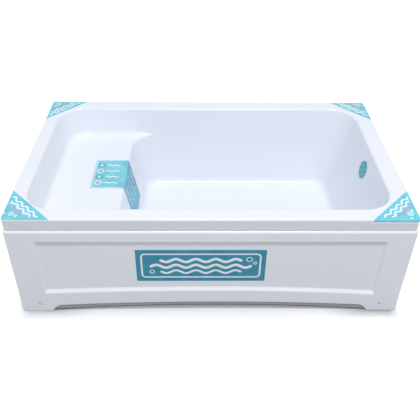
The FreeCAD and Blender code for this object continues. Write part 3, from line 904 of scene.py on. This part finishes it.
class Print(Shapes):
    """Flat printed shapes, with points across and up on a film."""

    def stroke(self, line, width, closed=False, ink=0):
        """An even stroke along a line of points, with round ends."""
        line = [Vector(p) for p in line]
        count = len(line)
        arms = []
        for k, here in enumerate(line):
            before = line[k - 1] if closed or k > 0 else here
            after = line[(k + 1) % count] if closed or k < count - 1 else here
            way = (after - before).normalized()
            arms.append(Vector((-way.y, way.x)) * (width / 2))
        sides = [p + arm for p, arm in zip(line, arms)] + [p - arm for p, arm in zip(line, arms)]
        quads = [(k, count + k, count + (k + 1) % count, (k + 1) % count)
                 for k in range(count if closed else count - 1)]
        self.shape(sides, quads, ink)
        for centre, arm in () if closed else ((line[0], arms[0]), (line[-1], -arms[-1])):
            points = [centre + Matrix.Rotation(math.pi * k / 8, 2) @ arm for k in range(9)]
            self.shape(points, [tuple(range(9))], ink)

    def spot(self, centre, radius, ink=0):
        points = round_line(centre, radius, 32)
        self.shape(points, [tuple(range(len(points)))], ink)

    def ring(self, centre, radius, width, ink=0):
        self.stroke(round_line(centre, radius, 40), width, True, ink)

    def wave(self, start, length, height, count, width, ink=0, turn=0.0):
        """A wavy stroke to the right of its start."""
        line = []
        for share in graded([0, 1], [14 * count]):
            rise = height * math.sin(2 * math.pi * (count * share + turn))
            line.append((start[0] + length * share, start[1] + rise))
        self.stroke(line, width, False, ink)

    def lay(self, name, place, slot, inks):
        """The print as a thin object; place gives where a point across and up lies, and its normal."""
        placed = [place(*p) for p in self.points]
        points = [where + normal * ink_rise for where, normal in placed]
        item = object_from(name, points, self.faces, self.inks)
        film_from(item, placed[0][1], inks, slot, thickness=ink_rise, smooth=50)


def corner_ring(inset, z, sx, sy, drop=0.0):
    """A corner sticker's points at one distance in from the rim's faces: up one leg, round and down."""
    straight = even(10, corner_sticker_leg - inset + drop, rim_outer_corner)
    radius = rim_outer_corner - inset
    turns = [math.radians(9 * k) for k in range(11)]
    bent = [(rim_outer_corner - radius * math.cos(t), rim_outer_corner - radius * math.sin(t)) for t in turns]
    local = [(inset, b) for b in straight] + bent + [(a, inset) for a in straight[::-1]]
    back = rim_back if sy > 0 else rim_front
    return [Vector((sx * (rim_x - a), back - sy * b, z)) for a, b in local]


def make_corner_sticker(side, end, sx, sy, inks):
    name = f"corner_sticker_{side}_{end}"
    top = rim_top + film_top
    start = Vector((-film_top, rim_top - rim_top_round))
    # The front right sticker folds further down over the rim's edge, and its lowest band is white
    folded = sy < 0 < sx
    drops = (sticker_fold, sticker_fold - sticker_white_band) if folded else ()
    rows = [corner_ring(-film_top, start.y - drop, sx, sy, drop) for drop in drops]
    over = bend(start, Vector((-film_top, top)), Vector((rim_top_round, top)), 12)
    rows += [corner_ring(inset, z, sx, sy) for inset, z in over[0 if folded else 5:]]
    inner = rows[-1]
    for share in corner_film_shares:
        count = len(inner) - 1
        rows.append([p.lerp(inner[0].lerp(inner[-1], k / count), share) for k, p in enumerate(inner)])
    film = sheet_from(name + "_film", rows)
    if sy > 0:
        trimmed = bmesh.new()
        trimmed.from_mesh(film.data)
        wall_side = Vector((0, rim_back - sticker_wall_gap, 0))
        parts = trimmed.verts[:] + trimmed.edges[:] + trimmed.faces[:]
        bmesh.ops.bisect_plane(trimmed, geom=parts, plane_co=wall_side, plane_no=(0, 1, 0), clear_outer=True)
        trimmed.to_mesh(film.data)
        trimmed.free()
    white_band_top = start.y - sticker_fold + sticker_white_band
    film_from(film, Vector((0, 0, 1)), [inks["turquoise_film"], inks["white_ink"]], "sticker_turquoise", name,
              smooth=50, second=lambda place: place.z < white_band_top)

    corner = Vector((sx * rim_x, rim_back if sy > 0 else rim_front, top))
    outward = Vector((sx, sy, 0)).normalized()
    middle = corner - outward * (corner_sticker_leg / math.sqrt(2))
    place = flat_place(middle, outward.cross(Vector((0, 0, 1))), outward)
    art = Print()
    art.wave((-0.064, 0.016), 0.128, 0.004, 4, 0.0055)
    art.wave((-0.048, 0.030), 0.096, 0.004, 3, 0.0055, turn=0.5)
    art.wave((-0.032, 0.043), 0.064, 0.004, 2, 0.0035, ink=1)
    for u, v, radius in ((0.0, 0.061, 0.0075), (-0.017, 0.057, 0.0035), (0.015, 0.072, 0.0025)):
        art.ring((u, v), radius, 0.0025)
    art.spot((0.0, 0.061), 0.003)
    art.lay(name + "_print", place, "sticker_turquoise", [inks["white_ink"], inks["rose_ink"]])


def make_overflow_sticker(inks):
    """A round film, drawn in a little where it spans the hole."""
    low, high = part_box("overflow_sticker")
    radius = (high.y - low.y) / 2
    out = -overflow_axis()
    across = Vector((0, -1, 0))
    up = out.cross(across)
    centre = overflow_centre() + out * film_top
    rows = []
    for share in overflow_film_shares:
        sunk = overflow_sag * max(0, 1 - (share * radius / overflow_radius) ** 2)
        rows.append([centre + (across * x + up * y) * (radius * share) - out * sunk for x, y in circle(72)])
    points, faces = tube(rows)
    film = object_from("overflow_sticker_film", points, faces[:-1])
    film_from(film, out, [inks["overflow_film"]], "sticker_turquoise", "overflow_sticker")


def make_front_label(inks):
    low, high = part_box("front_label")
    middle = (low + high) / 2
    centre = Vector((middle.x, panel_low.y + field_depth - film_gap - film_thickness, middle.z))
    wide = (high.x - low.x) / 2
    tall = (high.z - low.z) / 2
    place = flat_place(centre, Vector((1, 0, 0)), Vector((0, 0, 1)))
    outline = rounded_rectangle((-wide, -tall), (wide, tall), film_corner)
    film = object_from("front_label_film", [place(*p)[0] for p in outline], [tuple(range(len(outline)))])
    film_from(film, Vector((0, -1, 0)), [inks["teal_film"]], "label_teal", "front_label")
    art = Print()
    inset = 0.017
    border = rounded_rectangle((inset - wide, inset - tall), (wide - inset, tall - inset), 0.012)
    art.stroke(border, 0.0055, True)
    wave_length = 0.060
    for v, count, width in ((0.022, 4, 0.0105), (-0.002, 5, 0.0105), (-0.025, 4, 0.008)):
        turn = 0 if count % 2 else 0.5
        art.wave((-wave_length * count / 2, v), wave_length * count, 0.006, count, width, turn=turn)
    for u, v, radius in ((0.146, 0.026, 0.0085), (0.163, 0.011, 0.0045), (-0.148, -0.025, 0.0065)):
        art.ring((u, v), radius, 0.003)
    art.lay("front_label_print", place, "label_teal", [inks["white_ink"]])


def seat_place(middle_y):
    """Gives where a point u along and v across the seat label lies, with its normal, and u at each bend."""
    edge = Vector((seat_edge_x, 0, seat_z))
    down = Vector((lean_riser, 0, floor_z - seat_z)).normalized()
    points = [edge - Vector((seat_label_top, 0, 0))]
    points += bend(edge - Vector((seat_edge_bend, 0, 0)), edge, edge + down * (seat_edge_bend / -down.z), 14)
    points.append(edge + down * seat_label_riser)
    ways = [(b - a).normalized() for a, b in zip(points, points[1:])]
    ways = [(before + after).normalized() for before, after in zip(ways[:1] + ways, ways + ways[-1:])]
    normals = [Vector((-way.z, 0, way.x)) for way in ways]
    reached = [0.0]
    for a, b in zip(points, points[1:]):
        reached.append(reached[-1] + (b - a).length)

    def place(u, v):
        k = max(i for i in range(len(reached) - 1) if reached[i] <= u or i == 0)
        share = (u - reached[k]) / (reached[k + 1] - reached[k])
        normal = normals[k].lerp(normals[k + 1], min(max(share, 0), 1)).normalized()
        where = points[k].lerp(points[k + 1], share) + normal * film_top
        return where + Vector((0, middle_y + v, 0)), normal
    return place, reached


def make_seat_label(inks):
    low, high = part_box("seat_label")
    half = (high.y - low.y) / 2
    place, reached = seat_place((low.y + high.y) / 2)
    rows = [[place(u, v)[0] for v in (-half, -half / 3, half / 3, half)] for u in reached]
    film = sheet_from("seat_label_film", rows)
    # The label's part down the riser takes the darker film, which paints shade on it
    film_from(film, Vector((1, 0, 1)), [inks["cyan_film"], inks["riser_painted_shade_film"]], "label_cyan", "seat_label",
              second=lambda place: place.z < seat_z - seat_edge_bend / 2)
    art = Print()
    inset = 0.004
    border = rounded_rectangle((inset, inset - half), (reached[-1] - inset, half - inset), 0.004)
    art.stroke(border, 0.002, True)
    for k, v in enumerate((-0.052, -0.018, 0.016, 0.050)):
        art.ring((0.022, v), 0.0105, 0.003, ink=k % 2)
        art.spot((0.022, v), 0.004, ink=2 - 2 * (k % 2))
        art.wave((0.043, v), 0.044, 0.0028, 2, 0.0042)
        art.wave((seat_label_top + 0.022, v), 0.085, 0.0035, 3, 0.003, turn=0.25)
    art.lay("seat_label_print", place, "label_cyan",
            [inks["white_ink"], inks["deep_blue_ink"], inks["rose_ink"]])


def make_films():
    inks = {name: printed_film(name, *tones) for name, tones in films.items()}
    for side, sy in (("front", -1), ("back", 1)):
        for end, sx in (("left", -1), ("right", 1)):
            make_corner_sticker(side, end, sx, sy, inks)
    make_overflow_sticker(inks)
    make_front_label(inks)
    make_seat_label(inks)


# Materials
def linear(red, green, blue):
    """Scene colour of an 0 to 255 screen colour."""
    parts = [c / 255 for c in (red, green, blue)]
    parts = [c / 12.92 if c <= 0.04045 else ((c + 0.055) / 1.055) ** 2.4 for c in parts]
    return (*parts, 1)


class Tree:
    """A node tree with short ways to add nodes."""

    def __init__(self, owner):
        self.nodes = owner.node_tree.nodes
        self.links = owner.node_tree.links

    def node(self, kind, inputs=None, **settings):
        """A new node; each of its inputs gets a value, or a link from a socket."""
        made = self.nodes.new("ShaderNode" + kind)
        for key, value in settings.items():
            setattr(made, key, value)
        for key, value in (inputs or {}).items():
            if isinstance(value, bpy.types.NodeSocket):
                self.links.new(value, made.inputs[key])
            else:
                made.inputs[key].default_value = value
        return made

    def math(self, operation, *values):
        return self.node("Math", dict(enumerate(values)), operation=operation).outputs[0]

    def seen_directly(self):
        """1 for rays that show the background: from the camera, off gloss or through glass."""
        path = self.node("LightPath").outputs
        both = self.math("MAXIMUM", path["Is Camera Ray"], path["Is Glossy Ray"])
        return self.math("MAXIMUM", both, path["Is Transmission Ray"])


class Finish(Tree):
    """A principled material with helpers for its procedural detail."""

    def __init__(self, name, colour, roughness, sockets=None):
        self.material = bpy.data.materials.new(name)
        self.material.use_nodes = True
        super().__init__(self.material)
        self.shader = self.nodes["Principled BSDF"]
        for key, value in {"Base Color": colour, "Roughness": roughness, **(sockets or {})}.items():
            self.shader.inputs[key].default_value = value
        self.place = self.node("TexCoord").outputs["Object"]

    def texture(self, kind, scale, stretch=(1, 1, 1), **inputs):
        """A texture whose scale is in features per metre."""
        mapping = self.node("Mapping", {"Vector": self.place, "Scale": stretch})
        return self.node("Tex" + kind, {"Vector": mapping.outputs["Vector"], "Scale": scale, **inputs})

    def noise(self, scale, detail=3, stretch=(1, 1, 1), distortion=0):
        return self.texture("Noise", scale, stretch, Detail=detail, Distortion=distortion).outputs["Fac"]

    def spread(self, value, low, high, start=0.0, end=1.0):
        """Maps a value from start and end of its range to low and high."""
        ends = {"From Min": start, "From Max": end, "To Min": low, "To Max": high}
        return self.node("MapRange", {"Value": value, **ends}).outputs["Result"]

    def tint(self, value, first, second):
        """Base colour from first to second. A Mix has its colours at inputs 6 and 7 and at output 2."""
        mix = self.node("Mix", {"Factor": value, 6: first, 7: second}, data_type="RGBA")
        self.links.new(mix.outputs[2], self.shader.inputs["Base Color"])

    def wear(self, value, low, high):
        self.links.new(self.spread(value, low, high, 0.3, 0.7), self.shader.inputs["Roughness"])

    def bump(self, value, height, strength=1.0):
        """Relief whose full range is a height in metres."""
        bump = self.node("Bump", {"Height": value, "Distance": height, "Strength": strength})
        normal = self.shader.inputs["Normal"]
        if normal.links:
            self.links.new(normal.links[0].from_socket, bump.inputs["Normal"])
        self.links.new(bump.outputs["Normal"], normal)


def surface(name):
    """A material from its line in finishes."""
    colours, (roughness, *gloss), tone_noise, gloss_noise, reliefs, sockets = finishes[name]
    base, first, second = [linear(*colour) for colour in colours]
    finish = Finish(name, base, roughness, sockets)
    finish.tint(finish.noise(*tone_noise), first, second)
    finish.wear(finish.noise(*gloss_noise), *gloss)
    for grain, *relief in reliefs:
        finish.bump(finish.noise(*grain), *relief)
    return finish.material


def printed_film(name, first, second, painted_highlight_bands=False):
    """Printed vinyl whose tone drifts between two colours; with the last flag set, it runs in diagonal bands
    of painted highlight instead.
    """
    finish = Finish(name, linear(*first), 0.34, {"IOR": 1.5})
    if painted_highlight_bands:
        # Diagonal bands across the overflow film: painted highlight lines
        drift = finish.node("TexWave", {"Vector": finish.place, "Scale": 26, "Distortion": 1.5},
                            bands_direction="DIAGONAL").outputs["Fac"]
    else:
        drift = finish.spread(finish.noise(24, 3), 0, 1, 0.35, 0.65)
    finish.tint(drift, linear(*first), linear(*second))
    finish.wear(finish.noise(60, 3), 0.28, 0.42)
    finish.bump(finish.noise(420, 2), 0.00001)
    return finish.material


def chipboard():
    """Pressed wood chips of mixed tone."""
    finish = Finish("chipboard", linear(204, 176, 136), 0.8)
    chips = finish.texture("Voronoi", 400, (1, 1, 2.0)).outputs
    finish.tint(finish.spread(chips["Color"], 0, 1, 0.1, 0.9), linear(180, 148, 106), linear(226, 202, 164))
    finish.wear(finish.noise(90, 4), 0.68, 0.9)
    finish.bump(chips["Distance"], 0.0002, 0.6)
    finish.bump(finish.noise(700, 3), 0.0001)
    return finish.material


def softwood(name, along):
    """Planed softwood with its grain along one axis."""
    stretch = [1.0, 1.0, 1.0]
    stretch[along] = 0.045
    finish = Finish(name, linear(214, 184, 138), 0.62)
    grain = finish.noise(95, 5, stretch, 0.6)
    finish.tint(finish.spread(grain, 0, 1, 0.32, 0.68), linear(190, 152, 104), linear(230, 204, 160))
    finish.wear(finish.noise(140, 4, stretch), 0.5, 0.72)
    finish.bump(grain, 0.00025, 0.7)
    finish.bump(finish.noise(900, 2, stretch), 0.00005)
    return finish.material


def finish_nodes():
    """Gives every CAD node that still shows its material, and rounds its edges without changing its mesh."""
    made = {
        "chipboard": (chipboard(), 0.0005),
        "batten_wood": (softwood("softwood_lengthwise", 0), 0.001),
        "frame_paint": (surface("grey_powder_coat"), 0.0007),
        "zinc_steel": (surface("bright_zinc"), 0.0003),
        "black_plastic": (surface("black_polypropylene"), 0.0005),
        "strip_plastic": (surface("satin_strip"), 0.0008),
    }
    crosswise = softwood("softwood_crosswise", 1)
    slots = {part["node"]: part["material_slot"] for part in frame["record"]["subparts"]}
    for name, item in nodes.items():
        if item.hide_render:
            continue
        material, width = made[slots[name]]
        if name.startswith("rim_batten") and name.endswith("_end"):
            material = crosswise
        item.data.materials.clear()
        item.data.materials.append(material)
        modifier(item, "WELD", merge_threshold=0.00001)
        round_edges(item, width, 40, harden_normals=True)


# Camera at the photograph's place, and soft studio light
def add_camera():
    data = bpy.data.cameras.new("camera")
    data.sensor_width = 36
    data.lens = focal_pixels / photo_width * data.sensor_width
    data.shift_y = (axis_row - photo_width / 2) / photo_width
    camera = new_object("camera", data)
    place = Matrix.Translation(camera_place)
    for turn, axis in ((-yaw, "Z"), (math.radians(90) - pitch, "X"), (-roll, "Z")):
        place = place @ Matrix.Rotation(turn, 4, axis)
    camera.matrix_world = place
    bpy.context.scene.camera = camera


def add_lamp():
    """A wide softbox above the front, a little to the right."""
    data = bpy.data.lights.new("softbox_key", "AREA")
    data.shape = "RECTANGLE"
    data.size, data.size_y = lamp_size
    data.energy = lamp_power
    data.color = lamp_colour
    lamp = new_object("softbox_key", data)
    lamp.location = lamp_place
    lamp.rotation_euler = (lamp_target - lamp_place).to_track_quat("-Z", "Y").to_euler()


def add_world():
    """Pale blue-white light from all round, shown as plain white."""
    world = bpy.data.worlds.new("studio")
    world.use_nodes = True
    bpy.context.scene.world = world
    tree = Tree(world)
    light = tree.nodes["Background"]
    light.inputs["Color"].default_value = world_colour
    light.inputs["Strength"].default_value = world_strength
    shown = tree.node("Background", {"Color": (1, 1, 1, 1)})
    mix = tree.node("MixShader", {0: tree.seen_directly(), 1: light.outputs[0], 2: shown.outputs[0]})
    tree.links.new(mix.outputs[0], tree.nodes["World Output"].inputs["Surface"])


def add_floor():
    """A pale floor that takes the tub's shadow and runs into the white behind it; its glow is weaker near and
    under the tub, which paints shade there, and reaches full sooner past the tub's ends, which paints light
    over the shadow beside them, and painted shadow also lies before the panel's feet.
    """
    mesh = bpy.data.meshes.new("studio_floor")
    corners = (-1, -1), (1, -1), (1, 1), (-1, 1)
    mesh.from_pydata([(x * floor_reach, y * floor_reach, floor_drop) for x, y in corners], [], [(0, 1, 2, 3)])
    floor = new_object("studio_floor", mesh)
    finish = Finish("pale_floor", (0.9, 0.9, 0.9, 1), 1.0, {"Specular IOR Level": 0.0})
    seen = finish.seen_directly()
    seen_after_painted_shade = finish.math("MULTIPLY_ADD", foot_shade(finish), seen, seen)
    finish.tint(seen_after_painted_shade, floor_unseen, floor_seen)
    finish.shader.inputs["Emission Color"].default_value = (1, 1, 1, 1)
    # Glow that whitens the floor, weaker near and under the tub as painted shade, and stronger soon past its
    # ends as painted light
    glow = finish.spread(outside_tub(finish), floor_glow_near, floor_glow_far, 0.0, floor_glow_reach)
    finish.links.new(finish.math("MULTIPLY", glow, seen_after_painted_shade), finish.shader.inputs["Emission Strength"])
    mesh.materials.append(finish.material)


def foot_shade(finish):
    """How much the painted shadow on the floor before the panel's two feet takes away, from 0 to -1."""
    place = finish.node("SeparateXYZ", {0: finish.place}).outputs
    side = finish.math("ABSOLUTE", place["X"])
    shade = finish.spread(side, 0, -1, *shade_inner)
    for value, low, high, start, end in (
            (side, 1, 0, *shade_outer),
            (place["Y"], 0, 1, panel_low.y - shade_before, panel_low.y),
            (place["Y"], 1, 0, panel_low.y, panel_low.y + shade_behind),
            (place["X"], shade_left_share, 1, panel_low.x, panel_high.x)):
        shade = finish.math("MULTIPLY", shade, finish.spread(value, low, high, start, end))
    return shade


def outside_tub(finish):
    """How far a place on the floor lies outside the tub's footprint, counted more past its ends."""
    place = finish.place
    for operation, by in (("ABSOLUTE", (0, 0, 0)), ("SUBTRACT", (panel_high.x, -panel_low.y, 0)),
                          ("MAXIMUM", (0, 0, 0)), ("MULTIPLY", (floor_end_weight, 1, 0))):
        place = finish.node("VectorMath", {0: place, 1: by}, operation=operation).outputs[0]
    return finish.node("VectorMath", {0: place}, operation="LENGTH").outputs["Value"]


make_shell()
make_reinforcement()
make_panel()
make_strip_lip()
make_studs()
make_panel_screws()
make_welds()
make_films()
finish_nodes()

add_camera()
add_world()
add_lamp()
add_floor()
bpy.context.scene.view_settings.view_transform = "Standard"
